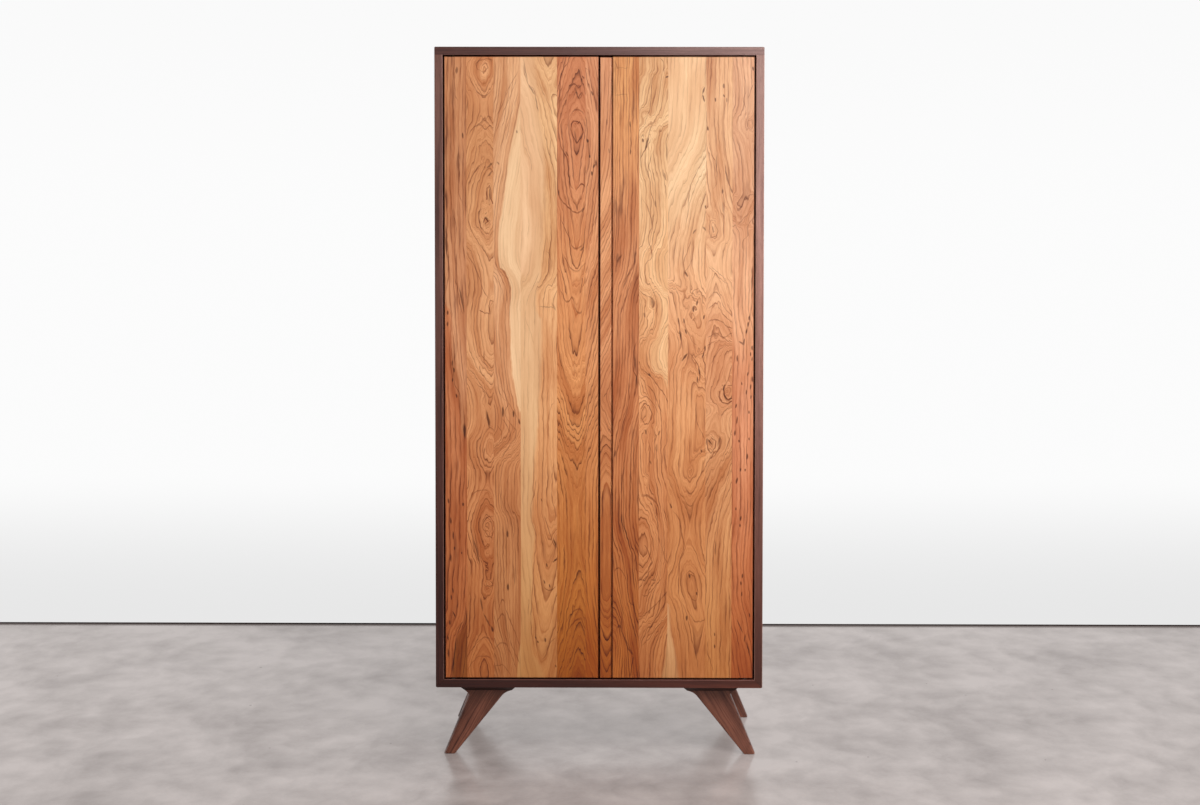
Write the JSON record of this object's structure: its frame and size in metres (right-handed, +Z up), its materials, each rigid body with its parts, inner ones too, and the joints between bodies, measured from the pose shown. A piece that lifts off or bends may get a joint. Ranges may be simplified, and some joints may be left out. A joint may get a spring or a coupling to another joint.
{
  "type": "tall storage cabinet",
  "caption": "Tall two-door storage cabinet: walnut case with inset cherry board doors and shelves, on splayed tapered legs.",
  "frame": {"origin": "on the floor, under the middle of the case", "axes": "+Z up, doors face -Y, +X to the right as the doors are seen"},
  "size_m": [0.914, 0.508, 1.989],
  "materials": {
    "walnut_case": "oiled dark walnut, satin",
    "walnut_legs": "oiled walnut with streaky grain, satin",
    "walnut_shelf": "oiled walnut, satin",
    "back_veneer": "walnut veneered panel, matt",
    "cherry_brown": "oiled brown cherry, satin",
    "cherry_tan": "oiled tan cherry, satin",
    "cherry_red": "oiled reddish cherry, satin",
    "cherry_pale": "oiled pale cherry sapwood, satin",
    "cherry_batten": "oiled cherry, satin",
    "brass": "machined brass",
    "steel": "zinc plated steel",
    "black_plastic": "matt black moulded plastic",
    "nylon": "natural nylon"
  },
  "bodies": {
    "case": {"top_board": "walnut_case", "bottom_board": "walnut_case", "left_side": "walnut_case", "right_side": "walnut_case", "back_panel": "back_veneer", "middle_shelf": "walnut_shelf", "lower_shelf": "walnut_shelf", "upper_shelf": "walnut_shelf", "lower_shelf_pin_left_front": "brass", "lower_shelf_pin_left_rear": "brass", "lower_shelf_pin_right_front": "brass", "lower_shelf_pin_right_rear": "brass", "upper_shelf_pin_left_front": "brass", "upper_shelf_pin_left_rear": "brass", "upper_shelf_pin_right_front": "brass", "upper_shelf_pin_right_rear": "brass", "left_front_leg": "walnut_legs", "right_front_leg": "walnut_legs", "left_rear_leg": "walnut_legs", "right_rear_leg": "walnut_legs", "left_front_plate": "walnut_case", "right_front_plate": "walnut_case", "left_rear_plate": "walnut_case", "right_rear_plate": "walnut_case", "left_door_top_case_leaf": "brass", "left_door_bottom_case_leaf": "brass", "right_door_top_case_leaf": "brass", "right_door_bottom_case_leaf": "brass", "left_door_washer": "nylon", "right_door_washer": "nylon", "left_door_latch_housing": "black_plastic", "right_door_latch_housing": "black_plastic"},
    "left_door": {"left_door_board_1": "cherry_brown", "left_door_board_2": "cherry_tan", "left_door_board_3": "cherry_red", "left_door_board_4": "cherry_pale", "left_door_board_5": "cherry_red", "left_door_board_6": "cherry_red", "left_door_batten_1": "cherry_batten", "left_door_batten_2": "cherry_batten", "left_door_batten_3": "cherry_batten", "left_door_top_door_leaf": "brass", "left_door_bottom_door_leaf": "brass", "left_door_latch_strike": "steel"},
    "right_door": {"right_door_board_1": "cherry_brown", "right_door_board_2": "cherry_tan", "right_door_board_3": "cherry_pale", "right_door_board_4": "cherry_tan", "right_door_board_5": "cherry_red", "right_door_strip": "cherry_brown", "right_door_batten_1": "cherry_batten", "right_door_batten_2": "cherry_batten", "right_door_batten_3": "cherry_batten", "right_door_top_door_leaf": "brass", "right_door_bottom_door_leaf": "brass", "right_door_latch_strike": "steel"},
    "left_plunger": {"left_door_latch_plunger": "steel"},
    "right_plunger": {"right_door_latch_plunger": "steel"}
  },
  "joints": [
    {"name": "left_door_hinge", "type": "hinge", "parent": "case", "child": "left_door", "pos_m": [-0.408, -0.241, 1.095], "axis": [0, 0, -1], "range_deg": [0, 110]},
    {"name": "right_door_hinge", "type": "hinge", "parent": "case", "child": "right_door", "pos_m": [0.408, -0.241, 1.095], "axis": [0, 0, 1], "range_deg": [0, 110]},
    {"name": "left_latch_press", "type": "slide", "parent": "case", "child": "left_plunger", "axis": [0, 1, 0], "range_m": [0, 0.0025], "stiffness_N_per_m": 400},
    {"name": "right_latch_press", "type": "slide", "parent": "case", "child": "right_plunger", "axis": [0, 1, 0], "range_m": [0, 0.0025], "stiffness_N_per_m": 400}
  ]
}
